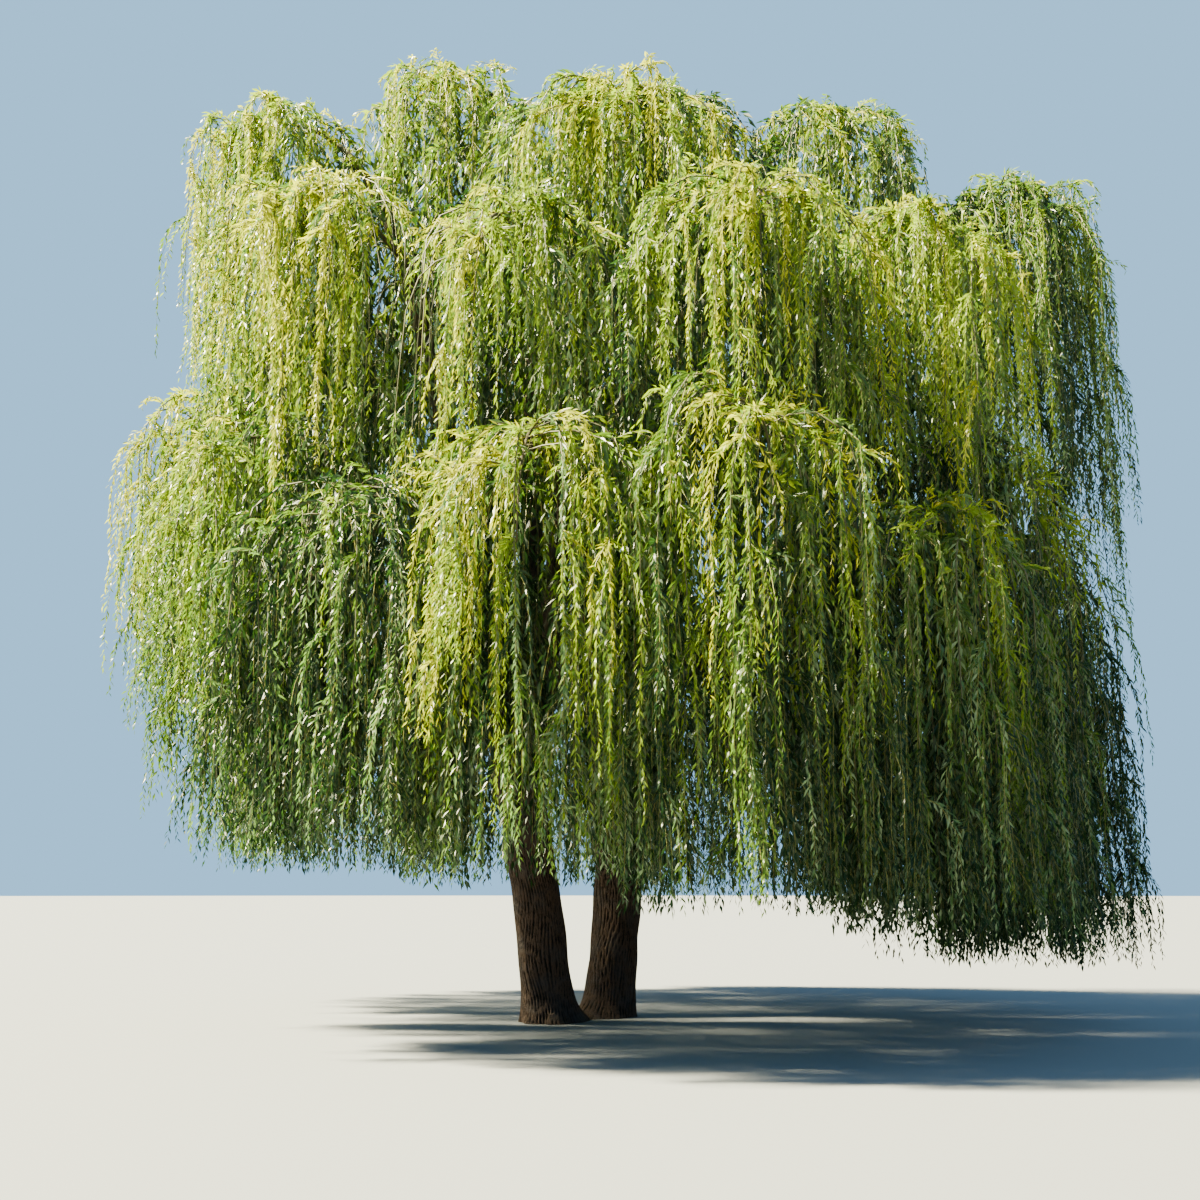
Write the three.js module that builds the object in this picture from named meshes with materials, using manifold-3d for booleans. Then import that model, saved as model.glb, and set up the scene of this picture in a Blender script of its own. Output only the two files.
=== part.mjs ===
// A weeping willow: two stems that lean apart from one root, the boughs that they carry, and the
// masses of hanging foliage. Millimetres, +Z up, with the origin in the middle of the left stem's
// flat cut at ground level. +X is to the right and -Y towards the viewer.
import * as THREE from "three";
import { mergeVertices } from "three/addons/utils/BufferGeometryUtils.js";
import Module from "manifold-3d";

const wasm = await Module();
wasm.setup();

// Driving dimensions
const GAP = 0.3; // left between pieces that meet
const CROWN_X = 900; // the crown's own axis, between the stems and its middle
const CROWN_Y = 500;
const STEM_RADIUS = 310; // of each stem at breast height
const FORK_HEIGHT = 2600;
const FLARE = 0.2; // how much wider a stem stands at the ground, as a share
const FLARE_HEIGHT = 420; // over which most of the flare is lost
const BUTTRESSES = 6; // ribs of the root flare
const ROOT_LOBE = 270; // how far each foot swells towards the other one, where they are one root
const RIGHT_FOOT = [720, 820]; // where the right stem stands, from the left one

const LEADER_RADIUS = 200; // of a bough that rises from a fork
const TIP_RADIUS = 34; // of every bough where it enters its foliage
const BOUGH_RISE = 0.8; // a side bough climbs about this much for each unit that it goes out

const ARCH_IN = 950; // from the bough's tip out to the crest of its foliage
const ARCH_OUT = 800; // from the crest out to where the foliage's stem hangs
const OUTREACH = 1350; // from the crest out to the mass's furthest leaves
const ARCH_RISE = 420; // from the bough's tip up to the crest
const MASS_STEM_RADIUS = 30;
const STRANDS = 4; // hanging twigs on a mass's stem
const STRAND_RADIUS = 19;
const LEAF = { length: 1250, width: 240, thick: 60, every: 1120, lean: 0.3 };
const CORE_SIDES = 10;
const CORE_SHARE = 0.76; // how far out the core reaches, as a share of the twigs' own reach
const CORE_FOLD = 0.7; // the depth of its folds, as the inner corners' share of the outer ones' reach
const CLEAR = 12; // twigs and leaves keep this far from limbs and from a neighbour's space
const SITE_DROP = 1300; // from the crest of a mass down to the point that its space is dealt round
const CELL_FLATTENING = 0.5; // heights count this much when spaces are dealt out

// Each mass of foliage: at is its direction from the crown's axis in degrees (0 right, 90 back,
// 180 left, 270 front) and reach how far it goes from there. Then come the heights of its crest and
// of its lowest twigs, and the limb that its bough grows from. wide and deep are its half width and
// half depth, lift is how much higher its outermost twigs end, and root is the side of the fork
// that a leader takes.
const TOP = { wide: 1900, deep: 1350, lift: 700 };
const MID = { wide: 1800, deep: 1250, lift: 500 };
const LOW = { wide: 1750, deep: 1200, lift: 0 };
const MASSES = {
  top_left: { ...TOP, at: 180, reach: 6400, crest: 12600, hem: 8000, from: "stem_left", root: 175 },
  top_middle: { ...TOP, at: 177, reach: 3950, crest: 13300, hem: 8700, from: "stem_left", root: 60 },
  top_front: { ...TOP, at: 268, reach: 3950, crest: 11450, hem: 7600, from: "stem_left", root: 290 },
  top_back_left: { ...TOP, at: 126, reach: 5000, crest: 12300, hem: 7700, from: "stem_right", root: 150 },
  top_back: { ...TOP, at: 68, reach: 4400, crest: 12600, hem: 8200, from: "stem_right", root: 60 },
  top_centre: { ...TOP, at: 30, reach: 1950, crest: 13150, hem: 8900, from: "stem_right", root: 240 },
  top_right: { ...TOP, at: 0, reach: 4650, crest: 12600, hem: 8000, from: "stem_right", root: 330 },

  shoulder_right: { ...MID, at: 3, reach: 7050, crest: 11500, hem: 5200, from: "top_right" },
  shoulder_right_front: { ...MID, at: 320, reach: 6000, crest: 9500, hem: 4700, from: "top_right" },
  shoulder_front: { ...MID, at: 288, reach: 5700, crest: 9350, hem: 4700, from: "top_front" },
  shoulder_front_left: { ...MID, at: 251, reach: 5500, crest: 9150, hem: 4500, from: "top_front" },
  shoulder_left: { ...MID, at: 212, reach: 5900, crest: 10200, hem: 5000, from: "top_left" },
  shoulder_left_back: { ...MID, at: 155, reach: 6500, crest: 10500, hem: 5000, from: "top_back_left" },
  shoulder_back: { ...MID, at: 100, reach: 5900, crest: 10000, hem: 4900, from: "top_back_left" },
  shoulder_right_back: { ...MID, at: 45, reach: 6500, crest: 10200, hem: 4900, from: "top_back" },

  skirt_left: { ...LOW, at: 178, reach: 7050, crest: 8350, hem: 2100, from: "top_left", lift: 3000 },
  skirt_left_front: { ...LOW, at: 207, reach: 6300, crest: 7100, hem: 1950, from: "top_left", lift: 900 },
  skirt_front_left: { ...LOW, at: 234, reach: 6100, crest: 6000, hem: 1800, from: "top_left" },
  skirt_front: { ...LOW, at: 259, reach: 6200, crest: 6350, hem: 1650, from: "top_front" },
  skirt_front_right: { ...LOW, at: 284, reach: 6300, crest: 6650, hem: 1400, from: "top_front" },
  skirt_right_front: { ...LOW, at: 309, reach: 6300, crest: 5750, hem: 1200, from: "top_right" },
  skirt_right: { ...LOW, at: 334, reach: 6100, crest: 7000, hem: 850, from: "top_right" },
  skirt_right_end: { ...LOW, at: 4, reach: 6600, crest: 6150, hem: 700, from: "top_right" },
  skirt_right_back: { ...LOW, at: 36, reach: 6800, crest: 6800, hem: 1200, from: "top_back" },
  skirt_back_right: { ...LOW, at: 69, reach: 6300, crest: 6300, hem: 1500, from: "top_back" },
  skirt_back: { ...LOW, at: 104, reach: 6300, crest: 6700, hem: 1700, from: "top_back_left" },
  skirt_back_left: { ...LOW, at: 142, reach: 6700, crest: 6900, hem: 1900, from: "top_back_left" },
};

// Small tools: a repeatable chance from 0 to 1, a direction on the ground, and solids.
const chance = (a, b, c) => {
  const s = Math.sin(a * 12.9898 + b * 78.233 + c * 37.719) * 43758.5453;
  return s - Math.floor(s);
};
const vec = (x, y, z) => new THREE.Vector3(x, y, z);
const heading = (degrees) => {
  const a = THREE.MathUtils.degToRad(degrees);
  return vec(Math.cos(a), Math.sin(a), 0);
};
const UP = vec(0, 0, 1);

function solidOf(geometry) {
  const bare = new THREE.BufferGeometry();
  bare.setAttribute("position", geometry.getAttribute("position"));
  bare.setIndex(geometry.getIndex());
  const merged = mergeVertices(bare, 1e-3);
  return new wasm.Manifold(
    new wasm.Mesh({
      numProp: 3,
      vertProperties: merged.attributes.position.array,
      triVerts: new Uint32Array(merged.index.array),
    }),
  );
}

function geometryOf(solid) {
  const mesh = solid.getMesh();
  const position = new Float32Array(mesh.numVert * 3);
  for (let i = 0; i < mesh.numVert; i++) {
    const from = i * mesh.numProp;
    position.set(mesh.vertProperties.subarray(from, from + 3), i * 3);
  }
  const geometry = new THREE.BufferGeometry();
  geometry.setAttribute("position", new THREE.BufferAttribute(position, 3));
  geometry.setIndex(new THREE.BufferAttribute(mesh.triVerts, 1));
  return geometry;
}

// The biggest body of a solid, without loose scraps or sealed hollows.
function wholeOf(solid) {
  return solid.decompose().reduce((best, body) => (body.volume() > best.volume() ? body : best));
}

// A closed skin over rings of points. A ring of one point is a pointed end.
function skinOf(rings) {
  const points = rings.flat();
  const starts = [];
  let count = 0;
  for (const ring of rings) {
    starts.push(count);
    count += ring.length;
  }
  const faces = [];
  for (let r = 0; r + 1 < rings.length; r++) {
    const [low, high] = [rings[r], rings[r + 1]];
    const sides = Math.max(low.length, high.length);
    for (let i = 0; i < sides; i++) {
      const j = (i + 1) % sides;
      const [a, b] = [starts[r] + i, starts[r] + j];
      const [c, d] = [starts[r + 1] + i, starts[r + 1] + j];
      if (high.length === 1) faces.push(a, b, starts[r + 1]);
      else if (low.length === 1) faces.push(starts[r], d, c);
      else faces.push(a, b, d, a, d, c);
    }
  }
  const first = rings[0].length;
  for (let i = 1; i + 1 < first; i++) faces.push(starts[0], starts[0] + i + 1, starts[0] + i);
  const last = rings.at(-1).length;
  const end = starts.at(-1);
  for (let i = 1; i + 1 < last; i++) faces.push(end, end + i, end + i + 1);
  const geometry = new THREE.BufferGeometry().setFromPoints(points);
  geometry.setIndex(faces);
  return geometry;
}

// Rings square to a path, turned along it without twist. radiusAt(share, index) is each ring's size.
function ringsAlong(path, radiusAt, sides) {
  const last = path.length - 1;
  let side = null;
  return path.map((point, i) => {
    const along = path[Math.min(i + 1, last)].clone().sub(path[Math.max(i - 1, 0)]).normalize();
    side ??= Math.abs(along.z) > 0.9 ? vec(1, 0, 0) : UP.clone();
    side = side.clone().addScaledVector(along, -side.dot(along)).normalize();
    const other = along.clone().cross(side);
    const radius = radiusAt(i / last, i);
    if (radius <= 0) return [point.clone()];
    return Array.from({ length: sides }, (_, k) => {
      const a = (2 * Math.PI * k) / sides;
      return point
        .clone()
        .addScaledVector(side, radius * Math.cos(a))
        .addScaledVector(other, radius * Math.sin(a));
    });
  });
}

const bend = (a, b, c, d, steps) => new THREE.CubicBezierCurve3(a, b, c, d).getPoints(steps);

// Stems
// A stem leans, sways a little and stands on a ribbed flare. Each ring is level, so that the foot
// and the fork are flat. grow makes it wider and taller, for a neighbour that is cut clear of it.
const between = Math.atan2(RIGHT_FOOT[1], RIGHT_FOOT[0]);
const STEMS = {
  stem_left: { foot: vec(0, 0, 0), lean: vec(-0.135, -0.05, 1), swell: 0.02, lobe: between },
  stem_right: { foot: vec(...RIGHT_FOOT, 0), lean: vec(0.07, 0.09, 1), swell: 0.2, lobe: between + Math.PI },
};
const STEM_SIDES = 20;
const STEM_RINGS = 8;

const stemAxis = (stem, height) => {
  const share = height / FORK_HEIGHT;
  const sway = 26 * Math.sin(Math.PI * share);
  return stem.foot.clone().addScaledVector(stem.lean, height).add(vec(sway, -sway, 0));
};

function stemRadius(stem, height, angle) {
  const share = height / FORK_HEIGHT;
  const low = Math.exp(-height / (0.45 * FLARE_HEIGHT));
  const rib = 1 + 0.4 * Math.cos(BUTTRESSES * (angle - stem.lobe));
  const lobe = ROOT_LOBE * Math.max(0, Math.cos(angle - stem.lobe)) ** 4;
  const top = 1 + stem.swell * share ** 3;
  return STEM_RADIUS * ((1.03 - 0.08 * share) * top + FLARE * low * rib) + low * lobe;
}

function stemSolid(stem, grow = 0) {
  const rings = Array.from({ length: STEM_RINGS + 1 }, (_, r) => {
    const height = FORK_HEIGHT * (r / STEM_RINGS) ** 1.7;
    const middle = stemAxis(stem, height);
    return Array.from({ length: STEM_SIDES }, (_, k) => {
      const angle = (2 * Math.PI * k) / STEM_SIDES;
      const radius = stemRadius(stem, height, angle) + grow;
      return vec(middle.x + radius * Math.cos(angle), middle.y + radius * Math.sin(angle), height);
    });
  });
  for (const point of rings.at(-1)) point.z += grow / 2;
  return solidOf(skinOf(rings));
}

// Foliage stems and the places where boughs end
const crownAxis = vec(CROWN_X, CROWN_Y, 0);
const plans = Object.entries(MASSES).map(([name, m], index) => {
  const out = heading(m.at);
  const crest = crownAxis.clone().addScaledVector(out, m.reach - OUTREACH).setZ(m.crest);
  const tip = crest.clone().addScaledVector(out, -ARCH_IN).addScaledVector(UP, -ARCH_RISE);
  const drop = crest.clone().addScaledVector(out, ARCH_OUT).addScaledVector(UP, -1500);
  const stem = bend(
    tip,
    crest.clone().addScaledVector(out, -0.35 * ARCH_IN).addScaledVector(UP, 0.35 * ARCH_RISE),
    crest.clone().addScaledVector(out, 0.95 * ARCH_OUT).addScaledVector(UP, 0.3 * ARCH_RISE),
    drop,
    5,
  );
  const site = crest.clone().addScaledVector(out, 0.25 * ARCH_OUT).addScaledVector(UP, -SITE_DROP);
  return { name, index, ...m, out, crest, tip, stem, site };
});

// Boughs
// A leader rises from a fork and a side bough leaves its leader where the line to its own tip
// climbs at BOUGH_RISE. Both curve outwards to the tip in the way that the foliage's stem sets off.
const limbs = new Map(); // name to { path, radii, solid, cutter }

function boughPath(plan) {
  const towards = plan.stem[1].clone().sub(plan.stem[0]).normalize();
  const stem = STEMS[plan.from];
  if (stem) {
    const start = stemAxis(stem, FORK_HEIGHT - 60).addScaledVector(heading(plan.root), 140);
    const rise = plan.tip.z - start.z;
    const pull = 0.3 * Math.hypot(plan.tip.x - start.x, plan.tip.y - start.y) + 0.05 * rise;
    const off = start.clone().lerp(plan.tip, 0.2).addScaledVector(UP, 0.15 * rise);
    return bend(start, off, plan.tip.clone().addScaledVector(towards, -pull), plan.tip, 7);
  }
  const leader = limbs.get(`bough_${plan.from}`).path;
  const climbs = (point) => {
    const flat = Math.hypot(plan.tip.x - point.x, plan.tip.y - point.y);
    return Math.abs(plan.tip.z - point.z - BOUGH_RISE * flat);
  };
  const start = leader.slice(1, -2).reduce((best, p) => (climbs(p) < climbs(best) ? p : best));
  const far = plan.tip.distanceTo(start);
  const off = start
    .clone()
    .lerp(plan.tip, 0.3)
    .addScaledVector(UP, 0.1 * far)
    .addScaledVector(heading(plan.at + 90), 0.24 * far * (chance(plan.index, 5, 5) - 0.5));
  return bend(start, off, plan.tip.clone().addScaledVector(towards, -0.3 * far), plan.tip, 5);
}

function limbOf(path, radii, sides) {
  const solid = solidOf(skinOf(ringsAlong(path, (_, i) => radii[i], sides)));
  // A cutter is the same limb, wider and longer by the gap at least.
  const ahead = path.at(-1).clone().sub(path.at(-2)).setLength(GAP);
  const longer = [...path.slice(0, -1), path.at(-1).clone().add(ahead)];
  const cutter = solidOf(skinOf(ringsAlong(longer, (_, i) => radii[i] + 2 * GAP, sides)));
  return { path, radii, solid, cutter };
}

for (const [name, stem] of Object.entries(STEMS)) {
  const path = Array.from({ length: 7 }, (_, i) => stemAxis(stem, (FORK_HEIGHT * i) / 6));
  const radii = path.map((p) => stemRadius(stem, p.z, 0));
  limbs.set(name, { path, radii, solid: stemSolid(stem), cutter: stemSolid(stem, 2 * GAP) });
}
const left = limbs.get("stem_left");
limbs.get("stem_right").solid = wholeOf(limbs.get("stem_right").solid.subtract(left.cutter));

for (const plan of plans) {
  const path = boughPath(plan);
  const leader = limbs.get(`bough_${plan.from}`);
  const at = leader ? leader.path.findIndex((p) => p.distanceTo(path[0]) < 1) : 0;
  const root = leader ? 0.78 * leader.radii[at] : LEADER_RADIUS;
  const radii = path.map((_, i) => {
    const share = i / (path.length - 1);
    return TIP_RADIUS + (root - TIP_RADIUS) * (1 - share) ** 0.85;
  });
  const limb = limbOf(path, radii, leader ? 6 : 8);
  for (const other of limbs.values()) limb.solid = limb.solid.subtract(other.cutter);
  limb.solid = wholeOf(limb.solid);
  limbs.set(`bough_${plan.name}`, limb);
}

// Foliage
// Each mass keeps to its own space: the points that are nearer to its site than to any other, with
// heights flattened. That space has flat sides, so a leaf is in it if all its corners are.
const flat = (v) => vec(v.x, v.y, v.z * CELL_FLATTENING);
function spaceOf(plan) {
  const own = flat(plan.site);
  const sides = plans
    .filter((other) => other !== plan)
    .map((other) => {
      const theirs = flat(other.site);
      const normal = theirs.clone().sub(own);
      const middle = own.clone().add(theirs).multiplyScalar(0.5);
      return { normal: normal.normalize(), reach: middle.dot(normal) - CLEAR };
    });
  return [...sides, { normal: plan.out, reach: crownAxis.dot(plan.out) + plan.reach }];
}
const inside = (space, point, room = 0) => {
  const p = flat(point);
  return space.every(({ normal, reach }) => p.dot(normal) < reach - room);
};

// Whether a point keeps clear of every limb and of the other masses' stems, each taken as straight
// stretches that taper.
const stretches = (owner, path, radiusAt) =>
  path.slice(1).map((end, i) => ({
    owner,
    line: new THREE.Line3(path[i], end),
    radii: [radiusAt(i), radiusAt(i + 1)],
  }));
const spans = [
  ...[...limbs.values()].flatMap(({ path, radii }) => stretches(null, path, (i) => radii[i])),
  ...plans.flatMap((plan) => stretches(plan, plan.stem, () => MASS_STEM_RADIUS)),
];
const nearest = vec(0, 0, 0);
function isClear(plan, point, room) {
  return spans.every(({ owner, line, radii }) => {
    if (owner === plan) return true;
    const share = line.closestPointToPointParameter(point, true);
    line.at(share, nearest);
    const radius = radii[0] + (radii[1] - radii[0]) * share;
    return nearest.distanceTo(point) > radius + room;
  });
}

// A point round the mass's middle, at a bearing from its outward side and a share of its reach.
const centreOf = (plan) => plan.crest.clone().addScaledVector(plan.out, OUTREACH - plan.deep - 100);
function aroundOf(plan, bearing, share) {
  const a = THREE.MathUtils.degToRad(bearing);
  const across = UP.clone().cross(plan.out);
  return centreOf(plan)
    .addScaledVector(plan.out, share * plan.deep * Math.cos(a))
    .addScaledVector(across, share * plan.wide * Math.sin(a));
}

// How low the mass's twigs hang at a bearing: lift raises those on its outward side.
const hemAt = (plan, bearing) => {
  const outward = Math.max(0, Math.cos(THREE.MathUtils.degToRad(bearing)));
  return plan.hem + plan.lift * outward;
};

// A hanging twig: it arches from the mass's stem over its middle, and then falls near to the hem.
function strandPath(plan, k, space) {
  const bearing = (280 * (k + 0.5)) / STRANDS - 140 + 40 * (chance(plan.index, k, 1) - 0.5);
  const share = 0.2 + 0.6 * (0.5 + 0.5 * Math.cos(THREE.MathUtils.degToRad(bearing)));
  const at = share * (plan.stem.length - 1);
  const low = Math.min(Math.floor(at), plan.stem.length - 2);
  const start = plan.stem[low].clone().lerp(plan.stem[low + 1], at - low);
  const end = hemAt(plan, bearing) + 0.8 * LEAF.length + 700 * chance(plan.index, k, 3) ** 2;
  let reach = 0.86 + 0.12 * chance(plan.index, k, 2);
  const turnAt = () => aroundOf(plan, bearing, reach).setZ(start.z - 650);
  while (reach > 0.3 && !inside(space, turnAt(), 3 * STRAND_RADIUS)) reach -= 0.04;
  const turn = turnAt();
  const crown = start.clone().lerp(turn, 0.6).setZ(start.z - 60);
  const path = [start, crown, turn];
  const steps = Math.max(1, Math.round((turn.z - end) / 3000));
  for (let i = 1; i <= steps; i++) {
    const sway = 120 * (chance(plan.index, k, 3 + i) - 0.5);
    path.push(vec(turn.x + sway, turn.y - sway, turn.z + ((end - turn.z) * i) / steps));
  }
  return path;
}

// The part of a path that stays in the mass's space and clear of the limbs, checked in short steps.
function keptPart(plan, path, space) {
  const kept = [path[0]];
  for (let i = 1; i < path.length; i++) {
    const steps = Math.ceil(path[i].distanceTo(path[i - 1]) / 120);
    for (let s = 1; s <= steps; s++) {
      const p = path[i - 1].clone().lerp(path[i], s / steps);
      const early = i === 1 && s / steps < 0.35;
      const free = early || isClear(plan, p, 2.5 * STRAND_RADIUS);
      if (!free || !inside(space, p, 2 * STRAND_RADIUS)) {
        if (s > 3) kept.push(path[i - 1].clone().lerp(path[i], (s - 2) / steps));
        return kept;
      }
    }
    kept.push(path[i]);
  }
  return kept;
}

// A leaf of eight faces, which stands for a spray: two points, and four corners where it is widest.
function leafSolid(root, along, side) {
  const { length, width, thick } = LEAF;
  const face = along.clone().cross(side);
  const waist = root.clone().addScaledVector(along, 0.42 * length);
  const ring = [
    waist.clone().addScaledVector(side, width / 2),
    waist.clone().addScaledVector(face, thick / 2),
    waist.clone().addScaledVector(side, -width / 2),
    waist.clone().addScaledVector(face, -thick / 2),
  ];
  const tip = root.clone().addScaledVector(along, length);
  return { corners: [root, ...ring, tip], geometry: skinOf([[root], ring, [tip]]) };
}

// The smaller core of a dense mass: a curtain hung over its crest, in folds, open underneath and
// with a hem of points. Each row is a share of its height and how wide it is there.
const CURTAIN = [
  [0.05, 0.62],
  [0.27, 1],
];
function coreSolid(plan, space) {
  const middle = centreOf(plan);
  const top = plan.crest.z - 120;
  const corner = (k, z, size) => {
    const edge = aroundOf(plan, (360 * k) / CORE_SIDES, CORE_SHARE * size * (k % 2 ? CORE_FOLD : 1)).setZ(z);
    let reach = 1;
    while (reach > 0 && !inside(space, plan.site.clone().lerp(edge, reach), 60)) reach -= 0.03;
    return plan.site.clone().lerp(edge, reach);
  };
  const every = Array.from({ length: CORE_SIDES }, (_, k) => k);
  const height = top - plan.hem - LEAF.length;
  const rings = CURTAIN.map(([share, size]) => every.map((k) => corner(k, top - share * height, size)));
  const hem = every.map((k) => {
    const low = hemAt(plan, (360 * k) / CORE_SIDES) + (k % 2 ? 1500 : 500);
    return corner(k, low + 500 * chance(plan.index, k, 80), 0.86);
  });
  const under = middle.clone().setZ(top - 0.45 * height);
  return solidOf(skinOf([[under], hem, ...rings.reverse(), [middle.clone().setZ(top)]]));
}

// The mass's own stem tapers along its arch. It starts in the bough's tip, which is cut from it.
function stemTube(plan, grow) {
  const taper = (share) => MASS_STEM_RADIUS * (1 - 0.55 * share) + grow;
  return solidOf(skinOf(ringsAlong(plan.stem, taper, 4)));
}
const cutters = [
  ...[...limbs.values()].map((limb) => ({ owner: null, solid: limb.cutter })),
  ...plans.map((plan) => ({ owner: plan, solid: stemTube(plan, 2 * GAP) })),
];

function massSolid(plan) {
  const space = spaceOf(plan);
  let solid = stemTube(plan, 0).add(coreSolid(plan, space));
  for (let k = 0; k < STRANDS; k++) {
    const path = keptPart(plan, strandPath(plan, k, space), space);
    if (path.length < 3) continue;
    const last = path.length - 1;
    const thin = (share, i) => (i === last ? 0 : STRAND_RADIUS * (1 - 0.5 * share));
    solid = solid.add(solidOf(skinOf(ringsAlong(path, thin, 3))));

    const line = new THREE.CurvePath();
    for (let i = 0; i < last; i++) line.add(new THREE.LineCurve3(path[i], path[i + 1]));
    const length = line.getLength();
    const leaves = Math.round(length / LEAF.every);
    const outward = path[last].clone().sub(centreOf(plan)).setZ(0).normalize();
    for (let n = 0; n < leaves; n++) {
      const place = Math.min(0.97, (n + 0.4 + 0.5 * chance(k, n, 20)) / leaves);
      const root = line.getPointAt(place);
      // A leaf turns round its twig until it is free, or is skipped.
      for (let turn = 0; turn < 5; turn++) {
        const turned = 2.4 * (chance(plan.index, k, 40 + n) - 0.5) + 1.25 * turn;
        const lean = outward.clone().applyAxisAngle(UP, turned);
        const along = UP.clone().multiplyScalar(-1).addScaledVector(lean, LEAF.lean).normalize();
        const side = along.clone().cross(lean.applyAxisAngle(UP, 0.6)).normalize();
        const leaf = leafSolid(root, along, side);
        const middle = root.clone().addScaledVector(along, 0.7 * LEAF.length);
        const free = [...leaf.corners.slice(1), middle].every(
          (p) => inside(space, p) && isClear(plan, p, CLEAR + LEAF.width / 4),
        );
        if (!free) continue;
        solid = solid.add(solidOf(leaf.geometry));
        break;
      }
    }
  }
  for (const cutter of cutters) {
    if (cutter.owner !== plan) solid = solid.subtract(cutter.solid);
  }
  return wholeOf(solid);
}

// Materials
const bark = new THREE.MeshStandardMaterial({ color: 0x4a3626, roughness: 0.95, metalness: 0 });
const boughBark = new THREE.MeshStandardMaterial({ color: 0x6b5838, roughness: 0.9, metalness: 0 });
const sunLeaf = new THREE.MeshStandardMaterial({ color: 0xa8b83a, roughness: 0.55, metalness: 0 });
const shadeLeaf = new THREE.MeshStandardMaterial({ color: 0x5f8238, roughness: 0.55, metalness: 0 });

const willow = new THREE.Group();
willow.name = "weeping_willow";
function place(name, solid, material) {
  const mesh = new THREE.Mesh(geometryOf(solid), material);
  mesh.name = name;
  willow.add(mesh);
}
for (const [name, limb] of limbs) place(name, limb.solid, name.startsWith("stem") ? bark : boughBark);
for (const plan of plans) {
  place(`foliage_${plan.name}`, massSolid(plan), plan.name.startsWith("skirt") ? shadeLeaf : sunLeaf);
}

export default willow;
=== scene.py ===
"""A weeping willow in summer leaf: two stems from one root, arching boughs, and hanging foliage
that grows on from the limbs as branchlets, withes and single leaves. Metres, +Z up, -Y to the
viewer. A limb is a Bezier curve to its mass's tip. A twig's slope runs from its rise to straight
down as e to the minus square of its way, so that it bows over once and hangs, down to its mass's
hem."""
import math

import bpy
import numpy as np
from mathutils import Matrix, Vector


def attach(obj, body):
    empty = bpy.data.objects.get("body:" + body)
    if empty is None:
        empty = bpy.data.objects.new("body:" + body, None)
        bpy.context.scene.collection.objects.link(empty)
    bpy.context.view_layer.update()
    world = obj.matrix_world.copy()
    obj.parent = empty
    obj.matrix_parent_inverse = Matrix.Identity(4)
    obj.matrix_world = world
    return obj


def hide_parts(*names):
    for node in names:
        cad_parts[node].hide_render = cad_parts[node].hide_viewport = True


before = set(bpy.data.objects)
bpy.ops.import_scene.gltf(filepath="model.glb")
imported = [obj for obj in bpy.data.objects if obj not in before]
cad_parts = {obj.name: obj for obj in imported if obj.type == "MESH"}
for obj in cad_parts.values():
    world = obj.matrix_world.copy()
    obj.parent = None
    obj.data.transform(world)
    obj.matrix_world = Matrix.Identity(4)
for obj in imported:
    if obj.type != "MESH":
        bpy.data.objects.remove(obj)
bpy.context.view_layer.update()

# Stems
# Two stems of old wood stand in one root and lean apart. Their bark is thick, dark brown and cork
# like, with interlaced ridges, and is painted darker still, as shade under the crown, and near
# black in its furrows, as shade there. Each is one skin over level rings that follow its lean,
# taper and root flare, closed by its flat foot on the ground and a low dome in the fork.
FORK_HEIGHT = 2.6
STEM_RADIUS = 0.31
FLARE = 0.2
FLARE_FADE = 0.189
BUTTRESSES = 6
ROOT_LOBE = 0.27
RIGHT_FOOT = (0.72, 0.82)
STEM_SWAY = 0.026
STEM_SIDES = 220
STEM_RINGS = 170
DOME_RINGS = 10
DOME_HEIGHT = 0.09
STEM_FURROW = 0.02
STEM_LUMPS = 0.012
STEM_RIDGES = 48
STEM_PLATE = 0.85
BARK_ROUGHNESS = 0.92
BARK_GLOSS = 0.2
BETWEEN_FEET = math.atan2(RIGHT_FOOT[1], RIGHT_FOOT[0])
STEMS = {
    "stem_left": dict(
        foot=(0, 0, 0), lean=(-0.135, -0.05, 1), swell=0.02, lobe=BETWEEN_FEET, seed=3
    ),
    "stem_right": dict(
        foot=(*RIGHT_FOOT, 0), lean=(0.07, 0.09, 1), swell=0.2, lobe=BETWEEN_FEET + math.pi, seed=8
    ),
}


def stem_axis(stem, height):
    """The stem's middle at a height: its foot, plus its lean times the height, plus a sway of half
    a sine wave over the whole height, to the right and towards the viewer."""
    height = np.asarray(height, float)[..., None]
    sway = STEM_SWAY * np.sin(np.pi * height / FORK_HEIGHT)
    return np.array(stem["foot"]) + np.array(stem["lean"]) * height + sway * np.array((1, -1, 0))


def stem_radius(stem, height, angle):
    """The stem's radius: it tapers a little, swells with the cube of the height towards its fork,
    and gains a ribbed flare and a lobe towards the other foot, which both fade as e to the minus
    height over FLARE_FADE."""
    share = height / FORK_HEIGHT
    low = np.exp(-height / FLARE_FADE)
    rib = 1 + 0.4 * np.cos(BUTTRESSES * (angle - stem["lobe"]))
    lobe = ROOT_LOBE * np.maximum(0, np.cos(angle - stem["lobe"])) ** 4
    top = 1 + stem["swell"] * share**3
    return STEM_RADIUS * ((1.03 - 0.08 * share) * top + FLARE * low * rib) + low * lobe


def waves(around, along, turns, pitch, seed):
    """A slow unevenness, about -1 to 1: seven sines, summed and scaled. Each goes round the limb a
    whole number of times, up to turns, and along it at its own pitch."""
    rng = np.random.default_rng(seed)
    total = np.zeros(np.broadcast(around, along).shape)
    for _ in range(7):
        slope = 2 * np.pi / (pitch * rng.uniform(0.6, 1.7))
        way = rng.integers(-turns, turns + 1) * around + slope * along
        total += np.sin(way + rng.uniform(0, 6.28))
    return total / 3.2


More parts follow.
